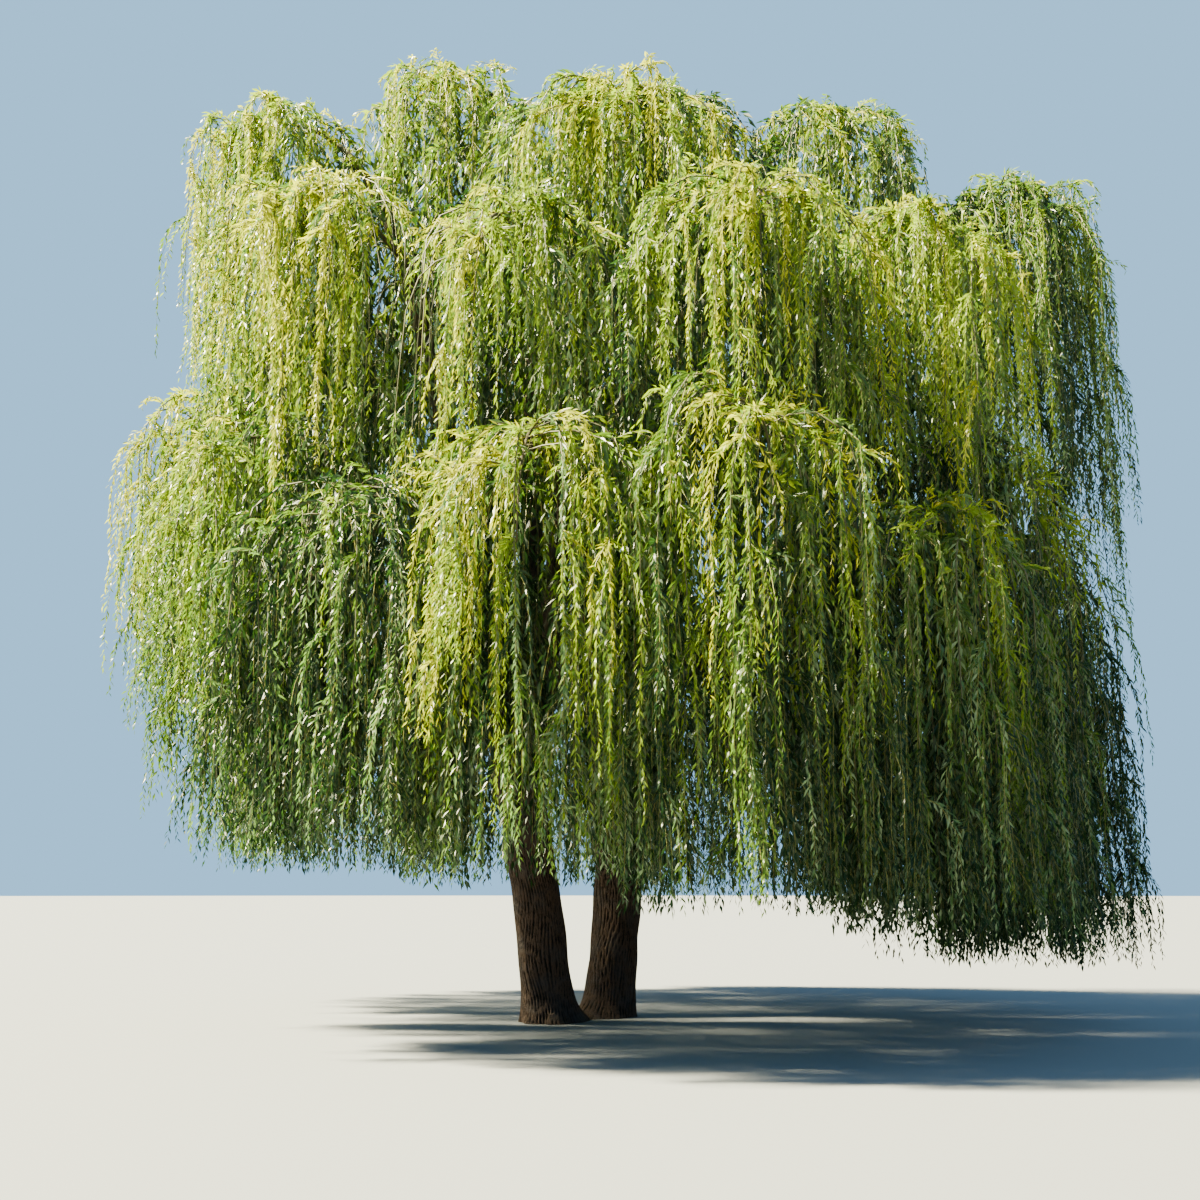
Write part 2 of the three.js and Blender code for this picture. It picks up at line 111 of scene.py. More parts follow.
def bark_ridges(around, along, ridges, plate, seed):
    """How high the bark stands, from 0 in a furrow to 1 on a ridge. Two families of ridges climb
    round the limb in opposite turns and wander with slow waves, and the higher of the two counts,
    so that they interlace round long furrows."""
    wander = 2.6 * waves(around, along, 3, 1.6 * plate, seed)
    spread = 1.3 * waves(around, along, 6, plate, seed + 1)
    turn = np.pi * along / plate
    rising = np.abs(np.cos(ridges / 2 * around + turn + wander + spread))
    falling = np.abs(np.cos(ridges / 2 * around - turn + wander - spread))
    crest = np.maximum(rising, falling)
    broken = 0.1 * waves(around, along, 40, 0.22 * plate, seed + 2)
    broken = broken + 0.08 * waves(around, along, 70, 0.07 * plate, seed + 3)
    height = np.clip((crest + broken - 0.5) / 0.4, 0, 1)
    return height * height * (3 - 2 * height)


def grid_faces(rings, sides):
    """Four-sided faces of a skin over rings of equal count, joined all round, facing out."""
    row = np.arange(rings - 1)[:, None] * sides
    here = np.arange(sides)[None, :]
    after = (here + 1) % sides
    corners = (row + here, row + after, row + sides + after, row + sides + here)
    return np.stack(corners, -1).reshape(-1, 4)


def fan_faces(ring, middle, up):
    """Three-sided faces from a ring of vertices to one in the middle of it."""
    after = np.roll(ring, -1)
    pair = (ring, after) if up else (after, ring)
    return np.stack((*pair, np.full(len(ring), middle)), -1)


def new_object(name, data):
    """An object over its data, in the scene."""
    made = bpy.data.objects.new(name, data)
    bpy.context.scene.collection.objects.link(made)
    return made


def new_piece(name, points, faces, material, slot, stands_for, smooth=True, **marks):
    """A mesh object at the origin from arrays of points and of faces, given its material and the
    nodes that it stands for, which it hides. slot is not used. faces is a list of arrays with one
    row for each face, and marks are named values, one for each point, that the material reads."""
    mesh = bpy.data.meshes.new(name)
    mesh.vertices.add(len(points))
    mesh.vertices.foreach_set("co", np.ascontiguousarray(points, np.float32).ravel())
    totals = np.concatenate([np.full(len(f), f.shape[1]) for f in faces])
    mesh.loops.add(int(totals.sum()))
    corners = np.concatenate([f.ravel() for f in faces])
    mesh.loops.foreach_set("vertex_index", corners.astype(np.int32))
    mesh.polygons.add(len(totals))
    starts = np.concatenate(((0,), np.cumsum(totals)[:-1]))
    mesh.polygons.foreach_set("loop_start", starts.astype(np.int32))
    mesh.polygons.foreach_set("use_smooth", np.full(len(totals), smooth))
    for mark, values in marks.items():
        layer = mesh.attributes.new(mark, "FLOAT", "POINT")
        layer.data.foreach_set("value", np.ascontiguousarray(values, np.float32).ravel())
    mesh.update(calc_edges=True)
    mesh.materials.append(material)
    piece = new_object(name, mesh)
    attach(piece, "root")
    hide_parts(*stands_for)
    return piece


def plain_material(name, colour, roughness, gloss=0.5):
    """A material of one plain colour, as smooth young bark has."""
    material = bpy.data.materials.new(name)
    material.use_nodes = True
    shader = material.node_tree.nodes["Principled BSDF"]
    shader.inputs["Base Color"].default_value = (*colour, 1)
    shader.inputs["Roughness"].default_value = roughness
    shader.inputs["Specular IOR Level"].default_value = gloss
    return material


def new_node(tree, kind, inputs, **settings):
    """A node in a tree with its own settings. inputs gives a value to each of its sockets, or the
    other node's output that is joined to it."""
    node = tree.nodes.new(kind)
    for setting, value in settings.items():
        setattr(node, setting, value)
    for socket, value in inputs.items():
        if isinstance(value, bpy.types.NodeSocket):
            tree.links.new(value, node.inputs[socket])
        else:
            node.inputs[socket].default_value = value
    return node


def times(tree, value, factor, plus=0):
    """The output of a node that multiplies a value by a factor and adds plus."""
    inputs = {0: value, 1: factor, 2: plus}
    return new_node(tree, "ShaderNodeMath", inputs, operation="MULTIPLY_ADD").outputs[0]


def blend(tree, share, first, second, kind="RGBA"):
    """The output of a node that turns from the first colour or place to the second by a share."""
    inputs = {"Factor": share, "A": first, "B": second}
    return new_node(tree, "ShaderNodeMix", inputs, data_type=kind).outputs["Result"]


def bark_grain_group():
    """The fine grain that all bark here shares, as a node group. Fissures are a noise stretched
    along the limb, Patches is a coarser one, for tone, and Plates is 0 in the cracks round small,
    long plates and 1 on them. All are worked out on Object coordinates, which Size scales."""
    group = bpy.data.node_groups.new("bark grain", "ShaderNodeTree")
    socket = dict(socket_type="NodeSocketFloat")
    group.interface.new_socket("Size", in_out="INPUT", **socket).default_value = 1
    for name in ("Fissures", "Patches", "Plates"):
        group.interface.new_socket(name, in_out="OUTPUT", **socket)
    size = new_node(group, "NodeGroupInput", {}).outputs["Size"]
    place = new_node(group, "ShaderNodeTexCoord", {}).outputs["Object"]
    stretch = {"Vector": place, "Scale": (1, 1, 0.22)}
    along = new_node(group, "ShaderNodeMapping", stretch).outputs["Vector"]
    fine = {"Vector": along, "Scale": times(group, size, 60), "Detail": 5, "Roughness": 0.65}
    fissures = new_node(group, "ShaderNodeTexNoise", fine)
    coarse = {"Vector": place, "Scale": times(group, size, 4), "Detail": 3}
    patches = new_node(group, "ShaderNodeTexNoise", coarse)
    bent = blend(group, 0.035, along, fissures.outputs["Color"], "VECTOR")
    cells = {"Vector": bent, "Scale": times(group, size, 30)}
    plates = new_node(group, "ShaderNodeTexVoronoi", cells, feature="DISTANCE_TO_EDGE")
    edge = {"Value": plates.outputs["Distance"], "From Max": 0.14}
    crack = new_node(group, "ShaderNodeMapRange", edge, interpolation_type="SMOOTHSTEP")
    results = {
        "Fissures": fissures.outputs["Fac"],
        "Patches": patches.outputs["Fac"],
        "Plates": crack.outputs["Result"],
    }
    new_node(group, "NodeGroupOutput", results)
    return group


BARK_GRAIN = bark_grain_group()


def bark_material(name, furrow, side, crest, weathered, young, size, bump):
    """Bark whose colour runs from its furrow through its side to its crest with the ridge
    attribute, is turned towards weathered in patches and towards young by the young attribute,
    and is roughened by fine fissures. The furrow's dark colour, and the darkening in the cracks
    round the plates, are painted shade in the bark's hollows."""
    material = plain_material(name, crest, BARK_ROUGHNESS, BARK_GLOSS)
    tree = material.node_tree
    shader = tree.nodes["Principled BSDF"]
    grain = new_node(tree, "ShaderNodeGroup", {}, node_tree=BARK_GRAIN)
    grain.inputs["Size"].default_value = size
    fissures, patches, plates = grain.outputs
    ridge = new_node(tree, "ShaderNodeAttribute", {}, attribute_name="ridge").outputs["Fac"]
    youth = new_node(tree, "ShaderNodeAttribute", {}, attribute_name="young").outputs["Fac"]
    # The cracks round the plates are painted darker, as shade in them.
    cracked = new_node(tree, "ShaderNodeMapRange", {"Value": plates, "To Min": 0.45})
    ridged = times(tree, ridge, cracked.outputs["Result"])
    ramp = new_node(tree, "ShaderNodeValToRGB", {"Fac": times(tree, fissures, 0.7, ridged)})
    stops = ramp.color_ramp.elements
    stops[0].position, stops[0].color = 0.32, (*furrow, 1)
    stops[1].position, stops[1].color = 1.35 / 1.4, (*crest, 1)
    stops.new(0.68).color = (*side, 1)
    worn = {"Value": patches, "From Min": 0.46, "From Max": 0.68, "To Max": 0.65}
    patch = new_node(tree, "ShaderNodeMapRange", worn).outputs["Result"]
    tone = blend(tree, patch, ramp.outputs["Color"], (*weathered, 1))
    tree.links.new(blend(tree, youth, tone, (*young, 1)), shader.inputs["Base Color"])
    relief = {"Height": times(tree, plates, 0.9, fissures), "Distance": bump, "Strength": 0.9}
    normal = new_node(tree, "ShaderNodeBump", relief).outputs["Normal"]
    tree.links.new(normal, shader.inputs["Normal"])
    return material


# Painted darker than its own bark, as shade under the crown; near black furrows are painted shade.
STEM_BARK = bark_material(
    "stem bark", furrow=(0.0025, 0.002, 0.0018), side=(0.011, 0.007, 0.005), size=1, bump=0.01,
    crest=(0.05, 0.03, 0.02), weathered=(0.04, 0.034, 0.032), young=(0.06, 0.05, 0.025),
)

for name, stem in STEMS.items():
    height = FORK_HEIGHT * np.linspace(0, 1, STEM_RINGS) ** 1.15
    angle = np.linspace(0, 2 * np.pi, STEM_SIDES, endpoint=False)
    dome = np.linspace(0, np.pi / 2, DOME_RINGS + 1)[1:-1]
    ring_height = np.append(height, np.full(len(dome), FORK_HEIGHT))[:, None]
    shrink = np.append(np.ones(len(height)), np.cos(dome))[:, None]
    lift = np.append(np.zeros(len(height)), DOME_HEIGHT * np.sin(dome))[:, None]
    seed = stem["seed"]
    ridge = bark_ridges(angle, ring_height + lift, STEM_RIDGES, STEM_PLATE, seed)
    lump = STEM_LUMPS * waves(angle, ring_height, 4, 0.9, seed + 20)
    radius = stem_radius(stem, ring_height, angle) + lump - STEM_FURROW * (1 - ridge)
    middle = stem_axis(stem, ring_height[:, 0])[:, None, :]
    x = middle[..., 0] + shrink * radius * np.cos(angle)
    y = middle[..., 1] + shrink * radius * np.sin(angle)
    z = np.broadcast_to(ring_height + lift, x.shape)
    skin = np.stack((x, y, z), -1).reshape(-1, 3)
    crown = stem_axis(stem, FORK_HEIGHT) + (0, 0, DOME_HEIGHT)
    points = np.vstack((skin, stem["foot"], crown))
    last_ring = np.arange(len(skin) - STEM_SIDES, len(skin))
    faces = [
        grid_faces(len(ring_height), STEM_SIDES),
        fan_faces(np.arange(STEM_SIDES), len(skin), up=False),
        fan_faces(last_ring, len(skin) + 1, up=True),
    ]
    shade = np.append(ridge.ravel(), (0, 0.5))
    new_piece(f"{name}_bark", points, faces, STEM_BARK, "bark", [name], ridge=shade)

# Boughs
# Limbs of live wood that rise from the forks or leave a leader on its way, curve out and end where
# their foliage begins. Their bark is smoother and paler than the stems', and shallow furrows fade
# out as the limb thins. Each is one tapering skin, wider where it is rooted.
CROWN_AXIS = np.array((0.9, 0.5, 0))
LEADER_RADIUS = 0.2
SIDE_WIDTH = 0.78
TIP_RADIUS = 0.034
BOUGH_TAPER = 0.85
ROOT_DEPTH = 0.06
ROOT_REACH = 0.14
BOUGH_RISE = 0.8
ARCH_IN = 0.95
ARCH_OUT = 0.8
OUTREACH = 1.35
ARCH_RISE = 0.42
ARCH_DROP = 1.5
SITE_DROP = 1.3
LEADER_STEPS = 7
LEADER_SKIN = dict(rings=100, sides=40, ridges=16)
SIDE_SKIN = dict(rings=60, sides=20, ridges=8)
BOUGH_PLATE = 0.5
BOUGH_FURROW = 0.09
COLLAR = 0.22
UP = np.array((0, 0, 1.0))
# The masses of foliage, one for each bough, in three tiers. at is the bearing from the crown's
# axis, 0 to the right and 90 to the back. reach is how far out the mass goes, crest and hem are its
# top and bottom, and lift raises the hem on its outward side. limb is what its bough leaves, and
# root the bearing in the fork. The mass has so many twigs, its branchlets, over a space as wide and
# deep to each side. fuller moves them outwards, sink lays them lower, apart is the room that they
# keep from the next mass, and free is the share that end short of the hem. Each has so many bunches
# of withes. warm shifts the leaves' tint to yellow above 0 and to dark green below it, painted sun
# and shade on the mass; fade takes it to green on the way down, partly older leaves and partly
# painted shade under the crest.
TIER = dict(fuller=0, sink=0, fade=0.05, bunches=4, free=0.45)
TOP = dict(TIER, warm=0.07, wide=2.2, deep=1.35, lift=0.3, twigs=30, apart=-0.25)
MID = dict(TIER, warm=0.04, wide=1.8, deep=1.25, lift=0.5, twigs=24, apart=0.05)
MID_BACK = dict(MID, wide=2.5, bunches=5, apart=-0.2)
LOW = dict(
    TIER, warm=-0.04, fade=0.15, bunches=6, wide=1.75, deep=1.2, lift=0, free=0.2, twigs=25, apart=0
)
LOW_CLOSE = dict(LOW, apart=-0.15)


def mass_at(tier, at, reach, crest, hem, limb, **own):
    """One mass's values: its tier's, its place, size and limb, and what it has of its own."""
    return dict(tier, at=at, reach=reach, crest=crest, hem=hem, limb=limb, **own)


MASSES = {
    "top_left": mass_at(TOP, 180, 6.4, 12.6, 8.0, "stem_left", root=175, sink=0.1, fuller=-0.15),
    "top_middle": mass_at(TOP, 177, 3.95, 13.3, 8.7, "stem_left", root=60, sink=0.2),
    "top_front": mass_at(TOP, 268, 3.95, 11.45, 7.6, "stem_left", root=290),
    "top_back_left": mass_at(TOP, 126, 5.0, 12.3, 7.7, "stem_right", root=150, lift=-0.7, free=0.2),
    "top_back": mass_at(TOP, 68, 4.4, 12.6, 8.2, "stem_right", root=60, lift=-0.6, free=0.2),
    "top_centre": mass_at(TOP, 30, 1.95, 13.15, 8.9, "stem_right", root=240, sink=0.3),
    "top_right": mass_at(TOP, 0, 4.65, 12.6, 8.0, "stem_right", root=330, sink=0.2, fuller=-0.35),
    "shoulder_right": mass_at(
        MID, 3, 7.05, 11.5, 5.2, "top_right", free=0.05, twigs=42, fuller=-0.15, bunches=6,
        warm=-0.12, lift=-0.6, wide=1.9,
    ),
    "shoulder_right_front": mass_at(MID, 320, 6.0, 9.5, 4.7, "top_right", free=0.3),
    "shoulder_front": mass_at(MID, 288, 5.7, 9.35, 4.7, "top_front"),
    "shoulder_front_left": mass_at(MID, 251, 5.5, 9.15, 4.5, "top_front"),
    "shoulder_left": mass_at(MID, 212, 5.9, 10.2, 5.0, "top_left", wide=2.1, twigs=28),
    "shoulder_left_back": mass_at(MID_BACK, 155, 6.5, 10.5, 5.0, "top_back_left", twigs=32),
    "shoulder_back": mass_at(MID_BACK, 100, 5.9, 10.0, 4.9, "top_back_left", twigs=30),
    "shoulder_right_back": mass_at(
        MID_BACK, 45, 6.5, 10.2, 4.9, "top_back", free=0.2, wide=2.4, bunches=4, twigs=32,
    ),
    "skirt_left": mass_at(
        LOW, 178, 7.05, 8.35, 2.1, "top_left", lift=3.2, free=0.05, warm=0.03, fade=0.07, twigs=32,
        fuller=-0.3,
    ),
    "skirt_left_front": mass_at(
        LOW, 207, 6.3, 7.1, 1.95, "top_left", lift=1.75, warm=-0.08, fade=0.1,
    ),
    "skirt_front_left": mass_at(LOW, 234, 6.1, 6.0, 1.8, "top_left", lift=0.15, warm=-0.32),
    "skirt_front": mass_at(
        LOW, 259, 6.2, 6.35, 1.65, "top_front", lift=0.1, warm=0.21, fade=0.13, bunches=7,
    ),
    "skirt_front_right": mass_at(
        LOW, 284, 6.3, 6.65, 1.4, "top_front", warm=0.21, fade=0.13, bunches=8,
    ),
    "skirt_right_front": mass_at(LOW, 309, 6.3, 5.75, 1.2, "top_right", warm=0.16, bunches=8),
    "skirt_right": mass_at(
        LOW_CLOSE, 334, 6.1, 7.0, 0.85, "top_right", free=0.1, twigs=30, bunches=8, wide=2.15,
    ),
    "skirt_right_end": mass_at(
        LOW_CLOSE, 4, 6.6, 6.15, 0.7, "top_right", free=0.05, twigs=42, fuller=-0.05, sink=-0.25,
        bunches=8, wide=2.15,
    ),
    "skirt_right_back": mass_at(
        LOW_CLOSE, 36, 6.8, 6.8, 1.2, "top_back", wide=2.25, bunches=7, twigs=30,
    ),
    "skirt_back_right": mass_at(LOW_CLOSE, 69, 6.3, 6.3, 1.5, "top_back", wide=2.1, twigs=28),
    "skirt_back": mass_at(
        LOW_CLOSE, 104, 6.3, 6.7, 1.7, "top_back_left", wide=2.1, bunches=7, twigs=30,
    ),
    "skirt_back_left": mass_at(
        LOW_CLOSE, 142, 6.7, 6.9, 1.9, "top_back_left", wide=2.2, bunches=7, twigs=32,
    ),
}


def chance(a, b, c):
    """A repeatable number from 0 to 1: the fraction of a large multiple of a sine."""
    wave = np.sin(a * 12.9898 + b * 78.233 + c * 37.719) * 43758.5453
    return wave - np.floor(wave)


def heading(degrees):
    """The level direction at a compass angle, 0 to the right and 90 to the back."""
    turn = np.radians(degrees)
    return np.stack((np.cos(turn), np.sin(turn), np.zeros_like(turn)), -1)


def bend(ends, share):
    """Points of a cubic Bezier curve over its four ends, at shares from 0 to 1."""
    a, b, c, d = (np.asarray(end)[..., None, :] for end in ends)
    t = np.asarray(share)[..., None]
    return (1 - t) ** 3 * a + 3 * (1 - t) ** 2 * t * b + 3 * (1 - t) * t**2 * c + t**3 * d


for index, plan in enumerate(MASSES.values()):
    out = heading(plan["at"])
    crest = CROWN_AXIS + out * (plan["reach"] - OUTREACH) + UP * plan["crest"]
    tip = crest - out * ARCH_IN - UP * ARCH_RISE
    arch = (
        tip,
        crest - out * 0.35 * ARCH_IN + UP * 0.35 * ARCH_RISE,
        crest + out * 0.95 * ARCH_OUT + UP * 0.3 * ARCH_RISE,
        crest + out * ARCH_OUT - UP * ARCH_DROP,
    )
    site = crest + out * 0.25 * ARCH_OUT - UP * SITE_DROP
    plan.update(index=index, out=out, top=crest, tip=tip, arch=arch, site=site)


def unit(arrows):
    """Arrows of length 1 in the same directions."""
    return arrows / np.maximum(np.linalg.norm(arrows, axis=-1, keepdims=True), 1e-6)


def bough_radius(root, share):
    """A bough's radius at a share of its way, from its radius at its root to TIP_RADIUS."""
    return TIP_RADIUS + (root - TIP_RADIUS) * (1 - share) ** BOUGH_TAPER


def bough_curve(plan, limbs):
    """The four ends of a bough's Bezier curve and its radius where it starts. A leader starts low
    in its fork. A side bough starts at the step of its leader from which the line to its own tip
    climbs nearest to BOUGH_RISE. Both arrive at their tip as the foliage's arch sets off."""
    tip = plan["tip"]
    first_step = bend(plan["arch"], np.array((0, 0.2)))
    towards = unit(first_step[1] - first_step[0])
    if plan["limb"] in STEMS:
        fork = stem_axis(STEMS[plan["limb"]], FORK_HEIGHT - ROOT_DEPTH)
        start = fork + ROOT_REACH * heading(plan["root"])
        rise = tip[2] - start[2]
        pull = 0.3 * np.hypot(*(tip - start)[:2]) + 0.05 * rise
        off = start + 0.2 * (tip - start) + UP * 0.15 * rise
        return (start, off, tip - towards * pull, tip), LEADER_RADIUS
    leader, root = limbs[plan["limb"]]
    share = np.arange(1, LEADER_STEPS - 1) / LEADER_STEPS
    steps = bend(leader, share)
    flat = np.hypot(*(tip - steps).T[:2])
    nearest = np.argmin(np.abs(tip[2] - steps[:, 2] - BOUGH_RISE * flat))
    start = steps[nearest]
    far = np.linalg.norm(tip - start)
    across = heading(plan["at"] + 90) * 0.24 * far * (chance(plan["index"], 5, 5) - 0.5)
    off = start + 0.3 * (tip - start) + UP * 0.1 * far + across
    width = bough_radius(root, share[nearest])
    return (start, off, tip - towards * 0.3 * far, tip), SIDE_WIDTH * width


def all_alike(points, *faces):
    """Points and faces of many skins of one kind, from the points of each, as (skins, points, 3),
    and the faces of the first."""
    start = np.arange(len(points))[:, None, None] * points.shape[1]
    return points.reshape(-1, 3), [(f[None] + start).reshape(-1, f.shape[1]) for f in faces]


def tube_skins(paths, radius, sides, level):
    """Points and faces of many round skins at once. paths is (limbs, rings, 3) and radius is
    (rings, 1) or (limbs, rings, sides). level holds, for each limb, a direction that its path
    never runs along. A ring's corners stand square to the path, and a fan closes each end."""
    along = unit(np.gradient(paths, axis=1))
    side = unit(level[:, None, :] - along * np.sum(along * level[:, None, :], 2, keepdims=True))
    other = np.cross(along, side)
    angle = np.linspace(0, 2 * np.pi, sides, endpoint=False)
    across = (radius * np.cos(angle))[..., None] * side[:, :, None, :]
    across = across + (radius * np.sin(angle))[..., None] * other[:, :, None, :]
    limbs, rings = paths.shape[:2]
    skin = (paths[:, :, None, :] + across).reshape(limbs, -1, 3)
    points = np.concatenate((skin, paths[:, :1], paths[:, -1:]), 1)
    last = np.arange((rings - 1) * sides, rings * sides)
    foot = fan_faces(np.arange(sides), rings * sides, up=False)
    tip = fan_faces(last, rings * sides + 1, up=True)
    return all_alike(points, grid_faces(rings, sides), np.concatenate((foot, tip)))


# Its near black furrow colour is painted shade in the furrows.
BOUGH_BARK = bark_material(
    "bough bark", furrow=(0.003, 0.0025, 0.002), side=(0.013, 0.009, 0.006), size=1.5, bump=0.004,
    crest=(0.053, 0.034, 0.023), weathered=(0.042, 0.036, 0.03), young=(0.07, 0.058, 0.028),
)

limbs = {}
for name, plan in MASSES.items():
    ends, root = bough_curve(plan, limbs)
    limbs[name] = (ends, root)
    leads = plan["limb"] in STEMS
    rings, sides, ridges = (LEADER_SKIN if leads else SIDE_SKIN).values()
    share = np.linspace(0, 1, rings)
    path = bend(ends, share)
    thick = bough_radius(root, share)
    if leads:
        # A leader grows out of the fork's wood: it starts lower and thinner, inside its stem.
        path = np.vstack((path[0] - UP * np.linspace(0.3, 0.05, 6)[:, None], path))
        thick = np.append(np.full(6, root), thick)
    way = np.append(0, np.cumsum(np.linalg.norm(np.diff(path, axis=0), axis=1)))
    if leads:
        thick = thick * (1 - 0.38 * np.exp(-((way / 0.55) ** 2)))
    else:
        thick = thick * (1 + COLLAR * np.exp(-way / (1.6 * root)))
    plane = np.linalg.svd(path - path.mean(0))[2][2]
    around = np.linspace(0, 2 * np.pi, sides, endpoint=False)
    seed = 100 + 10 * plan["index"]
    ridge = bark_ridges(around, way[:, None], ridges, BOUGH_PLATE, seed)
    knots = 0.06 * waves(around, way[:, None], 2, 0.8, seed + 5)
    radius = thick[:, None] * (1 + knots - BOUGH_FURROW * (1 - ridge))
    points, faces = tube_skins(path[None], radius[None], sides, plane[None])
    young = np.repeat(np.clip((0.15 - thick) / 0.1, 0, 1), sides)
    ridge = np.append(0.2 + 0.8 * ridge.ravel(), (0.5, 0.5))
    marks = dict(ridge=ridge, young=np.append(young, (0, 1)))
    bough = f"bough_{name}"
    new_piece(f"{bough}_bark", points, faces, BOUGH_BARK, "bough_bark", [bough], **marks)

# Arches and branchlets
# Each mass of foliage hangs from one arch that carries on from its bough's tip. Branchlets of
# thin, olive bark leave the arch and the outer part of the bough all along, rise a little, bow out
# and hang down. They are the cores of the tassels, and each is a tube that tapers to a point.
FOLIAGE = [f"foliage_{name}" for name in MASSES]
ARCH_END_RADIUS = 0.009
SOURCE_STRANDS = 4
INNER_BRANCHLETS = 9
BRANCHLET_RADIUS = 0.009
WITHE_TIP_RADIUS = 0.0015
FINE_STEPS = 61
SPACE_SLACK = 0.4
HANGING = 2.6
LOWEST_INSIDE = 2.7
CELL_FLATTENING = np.array((1, 1, 0.5))
FREE_END = (0.5, 3)
INNER_FLAT = (0.35, 1.3)
INNER_FALL = (1.8, 4.5)
BRANCHLET_SWAY = dict(size=0.05, pitch=3.1)
rng = np.random.default_rng(20)


def of_masses(key):
    """The masses' values of one key, in the order of the table."""
    return np.array([plan[key] for plan in MASSES.values()])


def bearing_of(course):
    """The compass angle of a course, in degrees."""
    return np.degrees(np.arctan2(course[..., 1], course[..., 0]))


def slope_after(rise, turns):
    """The slope of a twig that sets off at a rise, after a way counted in turns: it keeps its
    rise for a while, bows over within about two turns and then hangs."""
    return -np.pi / 2 + (np.pi / 2 + rise) * np.exp(-(turns**2))


def turn_and_length(rise, flat, drop):
    """The turn that carries a twig of this rise a level way flat from its start by the time that it
    hangs, and the length that takes its end down by drop."""
    turns = np.linspace(0, HANGING, 40)
    slope = slope_after(rise[:, None], (turns[1:] + turns[:-1]) / 2)
    step = turns[1]
    turn = flat / (np.cos(slope).sum(1) * step)
    return turn, HANGING * turn + drop + turn * np.sin(slope).sum(1) * step


def running(steps):
    """The sums of each row's steps so far, from 0."""
    return np.concatenate((np.zeros((len(steps), 1)), np.cumsum(steps, 1)), 1)


def droop(start, course, rise, turn, length, share):
    """Paths that set off along a level course and a rise above level, in radians, and bow until
    they hang. Their steps are summed at the given shares of their length."""
    way = length[:, None] * share[None, :]
    step = np.diff(way, axis=1)
    slope = slope_after(rise[:, None], (way[:, 1:] + way[:, :-1]) / 2 / turn[:, None])
    out = running(step * np.cos(slope))
    up = running(step * np.sin(slope))
    return start[:, None, :] + out[..., None] * course[:, None, :] + up[..., None] * UP


def swayed(paths, rng, size, pitch):
    """Paths with a slow, level wander added: a sine of the way along, in a direction of its own,
    that starts from nothing and grows over the first stretch."""
    way = running(np.linalg.norm(np.diff(paths, axis=1), axis=2))
    course = heading(rng.uniform(0, 360, len(paths)))
    phase = rng.uniform(0, 2 * np.pi, (len(paths), 1))
    swing = np.sin(2 * np.pi * way / pitch + phase) - np.sin(phase)
    grown = size * swing * (1 - np.exp(-way / 0.6))
    return paths + grown[..., None] * course[:, None, :]


def hem_at(plan, bearing):
    """How low a mass's twigs hang at a bearing from its outward side, where lift raises them."""
    return plan["hem"] + plan["lift"] * np.maximum(0, np.cos(np.radians(bearing)))


SITES = of_masses("site") * CELL_FLATTENING


def room_in(index, points, plan):
    """How far points lie inside a mass's own space, below 0 outside it. The space is what lies
    nearer to its site than to any other's, with heights halved, and within its reach."""
    flat = points * CELL_FLATTENING
    own = SITES[index]
    apart = np.linalg.norm(SITES - own, axis=1)
    apart[index] = 1e9
    far = np.sum((flat[..., None, :] - SITES) ** 2, -1)
    near = np.sum((flat - own) ** 2, -1)
    sides = (far - near[..., None]) / (2 * apart)
    sides[..., index] = 1e9
    edge = CROWN_AXIS @ plan["out"] + plan["reach"] + plan["fuller"] - points @ plan["out"]
    return np.minimum(sides.min(-1), edge)


def shortened(paths, room, least):
    """Each path over its first part only, which ends where less than the least room is left."""
    steps = paths.shape[1]
    out = (room < least) & (np.arange(steps) > steps // 4)
    kept = np.where(out.any(1), np.argmax(out, 1), steps - 1)
    place = np.linspace(0, 1, steps)[None, :] * kept[:, None]
    low = np.minimum(place.astype(int), steps - 2)
    part = (place - low)[..., None]
    row = np.arange(len(paths))[:, None]
    return paths[row, low] * (1 - part) + paths[row, low + 1] * part


